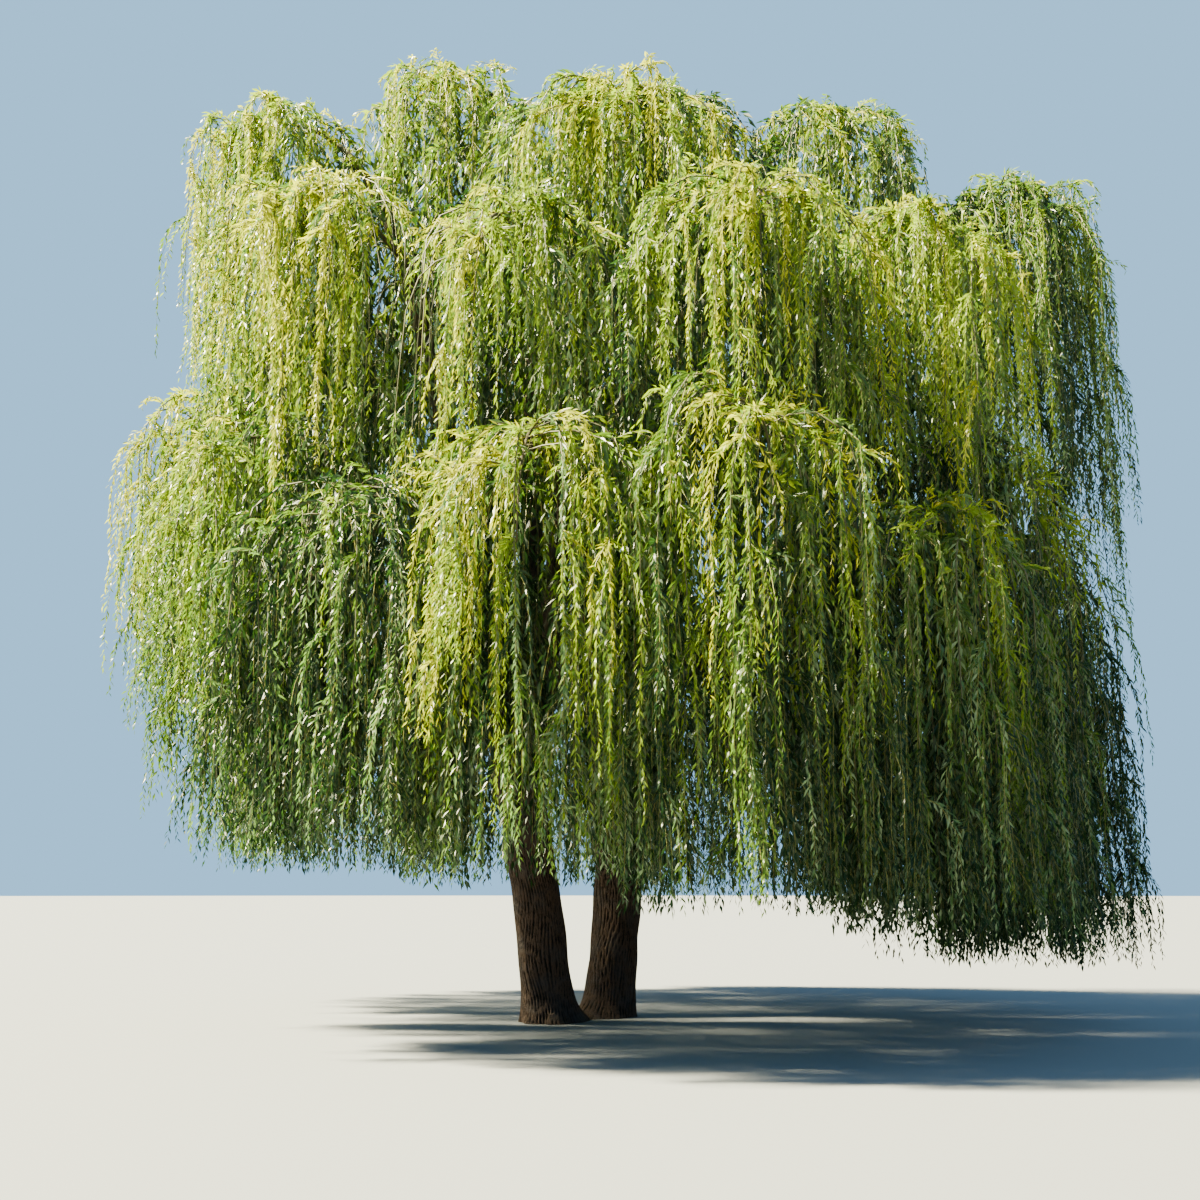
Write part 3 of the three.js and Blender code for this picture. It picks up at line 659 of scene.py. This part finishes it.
def branchlets_of(plan):
    """The branchlets of one mass as paths of FINE_STEPS points. The first few stand at the
    source's own bearings and reaches and the others are dealt out between them. Each starts at a
    share of the arch that grows with how far outwards it goes. Its reach is lowered till it hangs
    where there is room in the mass's space, and it ends where it would leave it. Some are free:
    they end well above the hem."""
    index = plan["index"]
    k = np.arange(plan["twigs"])
    bearing = 280 * (k + 0.5) / SOURCE_STRANDS - 140 + 40 * (chance(index, k, 1) - 0.5)
    reach = 0.86 + 0.12 * chance(index, k, 2)
    more = k >= SOURCE_STRANDS
    count = plan["twigs"] - SOURCE_STRANDS
    spread = 350 * (np.arange(count) + rng.uniform(0.1, 0.9, count)) / count - 175
    bearing[more] = spread
    reach[more] = rng.uniform(0.12, 1.14, count) ** 0.5
    turn_out = np.radians(bearing)
    share = 0.2 + 0.6 * (0.5 + 0.5 * np.cos(turn_out))
    shift = rng.uniform(-0.22, 0.16, len(k))
    shift -= 0.24 * rng.random(len(k)) * (np.cos(turn_out) > 0)
    share = np.where(more, np.clip(share + shift, 0.02, 0.92), share)
    start = bend(plan["arch"], share)
    middle = plan["top"] + plan["out"] * (OUTREACH - plan["deep"] - 0.1 + plan["fuller"])
    across = np.cross(UP, plan["out"])
    ring = plan["deep"] * np.cos(turn_out)[:, None] * plan["out"]
    ring = ring + plan["wide"] * np.sin(turn_out)[:, None] * across
    tries = reach[:, None] * np.linspace(1, 0.3, 12)
    target = middle + tries[..., None] * ring[:, None, :]
    target[..., 2] = start[:, None, 2] - 0.65
    fits = room_in(index, target, plan) > plan["apart"]
    fits[:, -1] = True
    chosen = target[np.arange(len(k)), np.argmax(fits, 1)]
    gap = (chosen - start) * (1, 1, 0)
    flat = np.maximum(np.linalg.norm(gap, axis=1), 0.12)
    course = gap / flat[:, None]
    most, tilt = (0.4, 0.25) if plan["limb"] in STEMS else (0.5, 0.2)
    rise = rng.uniform(-0.2, most, len(k)) + tilt * np.cos(turn_out) ** 2
    rise = rise * np.minimum(1, 0.8 / flat) - plan["sink"]
    end = hem_at(plan, bearing) + 0.1 + 0.6 * rng.random(len(k)) ** 1.5
    free = (reach > 0.6) & (rng.random(len(k)) < plan["free"])
    end = np.where(free, end + rng.uniform(*FREE_END, len(k)), end)
    turn, length = turn_and_length(rise, flat, start[:, 2] - end)
    paths = droop(start, course, rise, turn, np.maximum(length, 0.8), np.linspace(0, 1, FINE_STEPS))
    paths = swayed(paths, rng, **BRANCHLET_SWAY)
    hem = np.where(free, end - 0.5, hem_at(plan, bearing))
    return shortened(paths, room_in(index, paths, plan), plan["apart"] - SPACE_SLACK), course, hem


def inner_branchlets_of(name, plan):
    """The branchlets that hang from the outer part of a mass's bough, to both sides of it. They
    are shorter and end well above the ground."""
    count = INNER_BRANCHLETS
    share = 0.4 + 0.56 * (np.arange(count) + rng.random(count)) / count
    ends = limbs[name][0]
    start = bend(ends, share)
    ahead = bend(ends, share + 0.02) - start
    aside = np.where(np.arange(count) % 2, 75, -75) + rng.uniform(-55, 55, count)
    course = heading(bearing_of(ahead) + aside)
    rise = rng.uniform(0, 0.8, count)
    hem = np.maximum(plan["hem"], LOWEST_INSIDE)
    end = np.maximum(hem + 0.3, start[:, 2] - rng.uniform(*INNER_FALL, count))
    turn, length = turn_and_length(rise, rng.uniform(*INNER_FLAT, count), start[:, 2] - end)
    paths = droop(start, course, rise, turn, np.maximum(length, 0.6), np.linspace(0, 1, FINE_STEPS))
    return swayed(paths, rng, **BRANCHLET_SWAY), course, np.maximum(hem, end - 0.6)


grown = []
for name, plan in MASSES.items():
    for outer, twigs in ((True, branchlets_of(plan)), (False, inner_branchlets_of(name, plan))):
        mass = np.full(len(twigs[0]), plan["index"])
        grown.append((*twigs, mass, np.full(len(mass), outer)))
branch_paths, branch_course, branch_hem, branch_mass, on_arch = (
    np.concatenate(part) for part in zip(*grown)
)

arch_share = np.linspace(0, 1, 26)
arch_paths = np.stack([bend(plan["arch"], arch_share) for plan in MASSES.values()])
arch_level = np.cross(UP, of_masses("out"))
arch_radius = TIP_RADIUS + (ARCH_END_RADIUS - TIP_RADIUS) * arch_share**0.8
points, faces = tube_skins(arch_paths, arch_radius[:, None], 10, arch_level)
young = np.ones(len(points))
new_piece("foliage_arches", points, faces, BOUGH_BARK, "bough_bark", FOLIAGE, young=young)

# Its olive is the twigs' own, darkened further as painted shade inside the foliage.
BRANCHLET_BARK = plain_material("branchlet bark", (0.06, 0.055, 0.014), 0.6)
picked = np.array((0, 3, 6, 10, 15, 23, 34, 47, 60))
thin = BRANCHLET_RADIUS * (1 - picked / (FINE_STEPS - 1)) ** 0.8 + WITHE_TIP_RADIUS
level = np.cross(UP, branch_course)
points, faces = tube_skins(branch_paths[:, picked], thin[:, None], 4, level)
new_piece("foliage_branchlets", points, faces, BRANCHLET_BARK, "withe", FOLIAGE)

# Withes
# The long, limp shoots that the willow hangs in. They leave the arches and branchlets in bunches
# and fall beside them as tassels, and short ones stand on the crests. The bark is yellow green and
# smooth. Each is a three-sided whip, about as thin as it is in life.
LOW_HEM = 4
INNER_BUNCHES = 4
WITHES_IN_BUNCH = 3
CREST_WITHES = 5
TALL_CRESTS = 0.08
ARCH_WITHES = 14
STEEP = 0.8
WITHE_FLAT = (0.1, 0.36)
BOW_FALL = (1.2, 3.8)
STEEP_FALL = (0.7, 2.3)
ARCH_FLAT = (0.12, 0.5)
ARCH_FALL = (0.4, 3.5)
WITHE_STEPS = 25
WITHE_RADIUS = 0.0045
LONG_WITHE = 0.9


def whip_skins(paths, radius):
    """Points and faces of many three-sided skins that taper to a point at the end of their path."""
    along = np.gradient(paths, axis=1)
    level = np.cross(UP, paths[:, -1] - paths[:, 0]) + 0.3 * UP
    side = unit(np.cross(along, level[:, None, :]))
    other = unit(np.cross(along, side))
    rings = paths.shape[1] - 1
    thick = (radius * (1 - 0.8 * np.arange(rings) / rings))[:, None, None]
    angle = np.radians((0, 120, 240))[:, None]
    around = np.cos(angle) * side[:, :-1, None, :] + np.sin(angle) * other[:, :-1, None, :]
    skin = (paths[:, :-1, None, :] + thick * around).reshape(len(paths), -1, 3)
    points = np.concatenate((skin, paths[:, -1:]), 1)
    tip = fan_faces(np.arange(rings * 3 - 3, rings * 3), rings * 3, up=True)
    return all_alike(points, grid_faces(rings, 3), np.vstack(((2, 1, 0), tip)))


def points_on(paths, host, share):
    """The points at shares of the length of their host paths, and the directions there."""
    spot = np.clip(share, 0, 1) * (paths.shape[1] - 1)
    low = np.minimum(spot.astype(int), paths.shape[1] - 2)
    part = (spot - low)[:, None]
    along = unit(paths[host, low + 1] - paths[host, low])
    return paths[host, low] * (1 - part) + paths[host, low + 1] * part, along


# Bunches: a bunch's withes leave close together, on one side of the branchlet.
count = len(branch_paths)
low = (of_masses("hem") < LOW_HEM)[branch_mass]
number = np.where(on_arch, of_masses("bunches")[branch_mass], INNER_BUNCHES)
first_bunch = np.cumsum(number) - number
all_bunches = number.sum()
bunch_host = np.repeat(np.arange(count), number)
spread = np.arange(all_bunches) - first_bunch[bunch_host] + rng.random(all_bunches)
spread = (spread / number[bunch_host]) ** np.where(low, 0.65, 1.2)[bunch_host]
bunch = np.repeat(np.arange(all_bunches), WITHES_IN_BUNCH)
host = bunch_host[bunch]
place = 0.03 + 0.9 * spread[bunch] + rng.normal(0, 0.018, len(bunch))
side = rng.normal(0, 1, all_bunches)[bunch] + rng.normal(0, 0.45, len(bunch))
start, along = points_on(branch_paths, host, np.clip(place, 0.01, 0.97))
hanging = np.clip(-along[:, 2], 0, 1)
turned = side * np.where(hanging > STEEP, 85, 60)
course = heading(bearing_of(branch_course[host]) + turned)
rise = np.clip(0.5 - 1.2 * hanging + rng.normal(0, 0.22, len(host)), -1.2, 1)
flat = rng.uniform(*WITHE_FLAT, len(host))
drop = start[:, 2] - branch_hem[host]
fall = rng.uniform(*BOW_FALL, len(host))
fall = np.where(hanging < STEEP, fall, rng.uniform(*STEEP_FALL, len(host)))
fall = np.where(low[host], 1.2 * fall, fall)
fall = np.minimum(fall, drop - 0.4 * rng.random(len(host)) ** 2)
bunches = [start, course, rise, flat, fall, host, bunch]

# Crest withes: short leafy shoots that stand up from the branchlets' bows and curl over.
host = np.repeat(np.flatnonzero(on_arch), CREST_WITHES)
start = points_on(branch_paths, host, rng.uniform(0, 0.3, len(host)))[0]
course = heading(bearing_of(branch_course[host]) + rng.normal(0, 60, len(host)))
tall = rng.random(len(host)) < TALL_CRESTS
rise = rng.uniform(-0.2, 0.6, len(host)) + 0.55 * tall
flat = 0.12 + 0.45 * rng.random(len(host)) ** 2 + 0.18 * tall
fall = rng.uniform(0.1, 0.5, len(host))
crests = [start, course, rise, flat, fall, host, all_bunches + host]

# Withes of the arches themselves.
host = np.repeat(np.arange(len(MASSES)), ARCH_WITHES)
start = points_on(arch_paths, host, rng.uniform(0, 0.95, len(host)))[0]
course = heading(rng.uniform(0, 360, len(host)))
rise = rng.uniform(0, 0.9, len(host))
flat = rng.uniform(*ARCH_FLAT, len(host))
hem = (of_masses("hem") + of_masses("lift"))[host]
fall = np.minimum(rng.uniform(*ARCH_FALL, len(host)), start[:, 2] - hem)
nearest = np.searchsorted(branch_mass, host) + rng.integers(0, 20, len(host))
arches = [start, course, rise, flat, fall, nearest, all_bunches + count + nearest]

start, course, rise, flat, fall, withe_host, withe_bunch = (
    np.concatenate(part) for part in zip(bunches, crests, arches)
)
turn, length = turn_and_length(rise, flat, fall)
kept = (length > 0.3) & (fall > 0)
start, course, rise, turn, length, withe_host, withe_bunch = (
    part[kept] for part in (start, course, rise, turn, length, withe_host, withe_bunch)
)
withe_paths = droop(start, course, rise, turn, length, np.linspace(0, 1, WITHE_STEPS) ** 1.3)
withe_paths = swayed(withe_paths, rng, size=0.03, pitch=1.7)


def passes(paths, near, far, reach):
    """Which paths come within reach of the straight line between two places."""
    line = np.array(far) - near
    share = np.clip((paths - near) @ line / (line @ line), 0, 1)
    gap = np.linalg.norm(paths - near - share[..., None] * line, axis=2)
    return (gap < reach).any(1)


# An opening high on the left, where the crown is thin and a forked limb shows through it.
OPENING = dict(near=(-1.31, -5.2, 7.07), far=(-2.16, 0.35, 9.45), reach=0.42)
LEFT_IN_OPENING = 0.12
kept = rng.random(len(withe_paths)) < LEFT_IN_OPENING
kept |= ~passes(withe_paths, **OPENING)
withe_paths, withe_host, withe_bunch, length = (
    part[kept] for part in (withe_paths, withe_host, withe_bunch, length)
)

# Leaves
# Narrow lance-shaped leaves, glossy above and paler beneath, that hang from both sides of every
# withe. Those at the crown's edge are three faces, bent like a sickle. Those behind are two, and
# fewer and larger the deeper they hang. Each bunch of withes has mostly one tint. The tints also
# paint light and shade: yellow on the crests and to the left where the sun falls, darker green to
# the right, near black deep inside the crown, and a bluish silver sheen in the shade.
OUTER_DEPTH = 0.5
MIDDLE_DEPTH = 1.2
# The kinds of leaf, each from its depth inside the crown, with the gap from one to the next.
LEAVES = (
    dict(depth=0, length=0.112, width=0.024, every=0.031, faces=3),
    dict(depth=0.25, length=0.115, width=0.028, every=0.031, faces=2),
    dict(depth=OUTER_DEPTH, length=0.145, width=0.04, every=0.052, faces=2),
    dict(depth=MIDDLE_DEPTH, length=0.2, width=0.06, every=0.115, faces=2),
)
LEAF_SIZES = (0.72, 1.2)
LEAN = (22, 58)
WEIGHT = 0.35
# The colours of each tint: above, beneath, and of the light that shines through.
# deep is painted shade inside the crown; silver is pale bloom and partly a painted sky sheen.
TINTS = {
    "yellow": ((0.25, 0.255, 0.002), (0.3, 0.315, 0.02), (0.38, 0.41, 0.002)),
    "lime": ((0.12, 0.182, 0.002), (0.17, 0.235, 0.02), (0.21, 0.31, 0.002)),
    "green": ((0.04, 0.08, 0.006), (0.08, 0.125, 0.035), (0.08, 0.16, 0.005)),
    "deep": ((0.008, 0.025, 0.006), (0.024, 0.05, 0.022), (0.013, 0.04, 0.005)),
    "silver": ((0.075, 0.135, 0.05), (0.19, 0.26, 0.14), (0.1, 0.2, 0.03)),
}
LEAST_WARMTH = (0.68, 0.42, 0.14)
LEAF_ROUGHNESS = 0.34
LEAF_GLOSS = 0.27
SHINE_THROUGH = 0.42
MOST_FACES = 190_000
SLICES = 48
LEVELS = 40
LEVEL_HEIGHT = 0.5
TILES = 30
TILE_SIZE = 0.6


def depth_inside(points):
    """How deep points hang inside the crown: the way to the outermost twig at the same height and
    bearing from the crown's axis, or to the highest one over the same spot, whichever is less."""
    flat = points.reshape(-1, 3) - CROWN_AXIS
    far = np.hypot(flat[:, 0], flat[:, 1])
    bearing = ((np.arctan2(flat[:, 1], flat[:, 0]) / (2 * np.pi) % 1) * SLICES).astype(int) % SLICES
    level = np.clip((flat[:, 2] / LEVEL_HEIGHT).astype(int), 0, LEVELS - 1)
    outermost = np.zeros((SLICES, LEVELS))
    np.maximum.at(outermost, (bearing, level), far)
    tile = ((flat[:, :2] + TILES * TILE_SIZE / 2) / TILE_SIZE).astype(int)
    tile = np.clip(tile, 0, TILES - 1)
    highest = np.zeros((TILES, TILES))
    np.maximum.at(highest, (tile[:, 0], tile[:, 1]), flat[:, 2])
    inside = outermost[bearing, level] - far
    below = highest[tile[:, 0], tile[:, 1]] - flat[:, 2]
    return np.minimum(inside, below).reshape(points.shape[:-1])


def leaf_stalks(paths, tint, kind, rng):
    """Roots, directions, sides, sizes and tints of the leaves on many paths. Leaves are dealt out
    evenly along each, alternately to its left and right. Each points along its withe, turned
    outwards and then down by its weight."""
    step = np.linalg.norm(np.diff(paths, axis=1), axis=2)
    number = np.floor(step.sum(1) / kind["every"]).astype(int)
    row = np.repeat(np.arange(len(paths)), number)
    order = np.arange(len(row)) - np.repeat(np.cumsum(number) - number, number)
    share = (order + rng.uniform(0.2, 0.8, len(row))) / number[row]
    root, along = points_on(paths, row, share)
    own = rng.uniform(0, 2 * np.pi, len(paths))[row]
    turn = own + np.pi * (order % 2) + rng.normal(0, 0.75, len(row))
    aside = np.stack((np.cos(turn), np.sin(turn), np.zeros_like(turn)), -1)
    aside = unit(aside - along * np.sum(along * aside, 1, keepdims=True))
    lean = np.radians(rng.uniform(*LEAN, len(row)))[:, None]
    point = along * np.cos(lean) + aside * np.sin(lean)
    point = unit(point - UP * rng.uniform(0, WEIGHT, (len(row), 1)))
    face = aside + UP * 0.5 + rng.normal(0, 0.45, (len(row), 3))
    side = unit(np.cross(face, point))
    small = 1 - 0.35 * share**3
    size = kind["length"] * rng.uniform(*LEAF_SIZES, len(row)) * small
    return root, point, side, size, tint[row]


def leaf_blades(root, point, side, size, kind):
    """Points and faces of leaves. Three faces make a sickle that bows back to its tip, and two
    faces make a kite."""
    over = np.cross(point, side)
    size = size[:, None]
    half = size * kind["width"] / kind["length"] / 2
    tip = root + point * size - over * 0.12 * size
    if kind["faces"] == 2:
        waist = root + point * 0.42 * size
        corners = (root, waist - side * half, tip, waist + side * half)
        blade = np.array(((0, 1, 2), (0, 2, 3)))
    else:
        corners = (
            root,
            root + point * 0.34 * size - side * half,
            root + point * 0.68 * size - side * 0.8 * half - over * 0.03 * size,
            tip,
            root + point * 0.46 * size + side * half + over * 0.02 * size,
        )
        blade = np.array(((0, 1, 4), (1, 2, 4), (2, 3, 4)))
    return all_alike(np.stack(corners, 1), blade)


def leaf_material(name, above, beneath, glow):
    """A leaf blade: a satin upper side, a paler lower side, and light that shines through."""
    material = plain_material(name, above, LEAF_ROUGHNESS, LEAF_GLOSS)
    tree = material.node_tree
    shader = tree.nodes["Principled BSDF"]
    below = new_node(tree, "ShaderNodeNewGeometry", {}).outputs["Backfacing"]
    tone = blend(tree, below, (*above, 1), (*beneath, 1))
    tree.links.new(tone, shader.inputs["Base Color"])
    through = new_node(tree, "ShaderNodeBsdfTranslucent", {"Color": (*glow, 1)})
    sides = {"Fac": SHINE_THROUGH, 1: shader.outputs["BSDF"], 2: through.outputs["BSDF"]}
    both = new_node(tree, "ShaderNodeMixShader", sides).outputs["Shader"]
    tree.links.new(both, tree.nodes["Material Output"].inputs["Surface"])
    return material


def tint_of(paths, host, bunch, depth):
    """Index into TINTS for each path. Warmth falls to the right and with depth inside the crown,
    as painted shade, and with the way down from the mass's crest, partly for older leaves and
    partly as painted shade. A mass's warm paints sun on it above 0 and shade below. Warmth varies
    at random by branchlet, by bunch and by withe. A few are silver, more where the warmth is low,
    as a painted sheen of the sky."""
    middle = paths.mean(1)
    mass = branch_mass[host]
    down = np.maximum(of_masses("crest")[mass] - middle[:, 2], 0)
    fade = of_masses("fade")[mass] * down
    # Lighter at the crest (young leaves and painted sun), darker to the right (painted shade).
    warmth = 0.52 + 0.22 * np.exp(-down / 1.2) - fade - 0.015 * (middle[:, 0] - 1)
    warmth += of_masses("warm")[mass]
    warmth += rng.normal(0, 0.14, len(branch_paths))[host]
    warmth += rng.normal(0, 0.1, bunch.max() + 1)[bunch]
    # Deeper inside the crown the tint is painted darker, as shade.
    warmth += rng.normal(0, 0.07, len(paths)) - 0.42 * np.clip(depth - 0.3, 0, 1.2)
    tint = np.select([warmth > least for least in LEAST_WARMTH], [0, 1, 2], 3)
    # More silver where the tint is dark: a painted sheen of the sky on shaded leaves.
    silver = np.where(warmth < 0.3, 0.15, 0.06)
    return np.where(rng.random(len(paths)) < silver, 4, tint)


own_leaves = branch_paths[:, np.linspace(3, FINE_STEPS - 1, WITHE_STEPS).astype(int)]
leafy = np.flatnonzero(~passes(own_leaves, **OPENING))
leafy_paths = np.concatenate((withe_paths, own_leaves[leafy]))
leafy_host = np.concatenate((withe_host, leafy))
leafy_bunch = np.concatenate((withe_bunch, first_bunch[leafy]))
depth = depth_inside(leafy_paths).mean(1)
low = leafy_paths[:, -1, 2] < LOWEST_INSIDE
depth = np.where(low, np.minimum(depth, 0.95 * MIDDLE_DEPTH), depth)
tint = tint_of(leafy_paths, leafy_host, leafy_bunch, depth)

# The skins of the withes, with more rings where they show.
WITHE_BARK = plain_material("withe bark", (0.15, 0.14, 0.018), 0.5)
shows = depth[: len(withe_paths)] < OUTER_DEPTH
long = length > LONG_WITHE
deep = depth[: len(withe_paths)] > MIDDLE_DEPTH
for label, some, picked in (
    ("outer", shows & long, (0, 5, 11, 17, 24)),
    ("inner", ~(shows & long) & ~deep, (0, 7, 15, 24)),
    ("deep", deep, (0, 10, 24)),
):
    points, faces = whip_skins(withe_paths[some][:, np.array(picked)], WITHE_RADIUS)
    new_piece(f"foliage_withes_{label}", points, faces, WITHE_BARK, "withe", FOLIAGE)

parts = {name: [] for name in TINTS}
kind_of = np.searchsorted([kind["depth"] for kind in LEAVES[1:]], depth, side="right")
for order, kind in enumerate(LEAVES):
    chosen = kind_of == order
    *stalks, leaf_tint = leaf_stalks(leafy_paths[chosen], tint[chosen], kind, rng)
    for number, name in enumerate(TINTS):
        mine = leaf_tint == number
        parts[name].append((*(part[mine] for part in stalks), kind))

for name, groups in parts.items():
    material = leaf_material(f"{name} leaf", *TINTS[name])
    grown = [leaf_blades(*group) for group in groups]
    points = np.concatenate([blades[0] for blades in grown])
    offsets = np.cumsum([0] + [len(blades[0]) for blades in grown[:-1]])
    faces = np.concatenate([blades[1][0] + offset for blades, offset in zip(grown, offsets)])
    pieces = -(-len(faces) // MOST_FACES)
    for part, chunk in enumerate(np.array_split(faces, pieces)):
        used, chunk_faces = np.unique(chunk, return_inverse=True)
        label = f"leaves_{name}" + (f"_{part + 1}" if pieces > 1 else "")
        blades = [chunk_faces.reshape(-1, 3)]
        new_piece(label, points[used], blades, material, f"leaf_{name}", FOLIAGE, smooth=False)

# Floor, background and light
# A plain pale floor under a pale sky, lit by one soft sun from high on the left. None of it is
# part of the plant.
FLOOR_RADIUS = 400
FLOOR_COLOUR = (0.118, 0.122, 0.135)
SKY_COLOUR = (0.34, 0.67, 1.0)
SKY_STRENGTH = 1.25
SUN_COLOUR = (1, 0.925, 0.58)
SUN_STRENGTH = 78
SUN_WIDTH = math.radians(5)
TOWARDS_SUN = Vector((-0.6, 0.03, 0.8))
rim = FLOOR_RADIUS * heading(np.linspace(0, 360, 96, endpoint=False))
floor_mesh = bpy.data.meshes.new("floor")
floor_mesh.from_pydata(rim.tolist(), [], [tuple(range(len(rim)))])
floor = new_object("floor", floor_mesh)
floor_mesh.materials.append(plain_material("pale floor", FLOOR_COLOUR, 0.9))

world = bpy.data.worlds.new("pale sky")
bpy.context.scene.world = world
world.use_nodes = True
sky = world.node_tree.nodes["Background"]
sky.inputs["Color"].default_value = (*SKY_COLOUR, 1)
sky.inputs["Strength"].default_value = SKY_STRENGTH

sun_data = bpy.data.lights.new("sun", "SUN")
sun_data.energy = SUN_STRENGTH
sun_data.angle = SUN_WIDTH
sun_data.color = SUN_COLOUR
sun = new_object("sun", sun_data)
sun.rotation_euler = TOWARDS_SUN.to_track_quat("Z", "Y").to_euler()

# Camera
# It stands where the photographer stood, at eye height, and looks a little up. The lens is as long
# as the photo's perspective asks.
VIEWPOINT = (0.62, -18.0, 1.6)
LOOKING_UP = 11.727
FOCUS = 1397 / 1200
SENSOR_WIDTH = 36
camera_data = bpy.data.cameras.new("camera")
camera_data.sensor_width = SENSOR_WIDTH
camera_data.lens = FOCUS * SENSOR_WIDTH
camera = new_object("camera", camera_data)
camera.location = VIEWPOINT
camera.rotation_euler = (math.radians(90 + LOOKING_UP), 0, 0)
bpy.context.scene.camera = camera
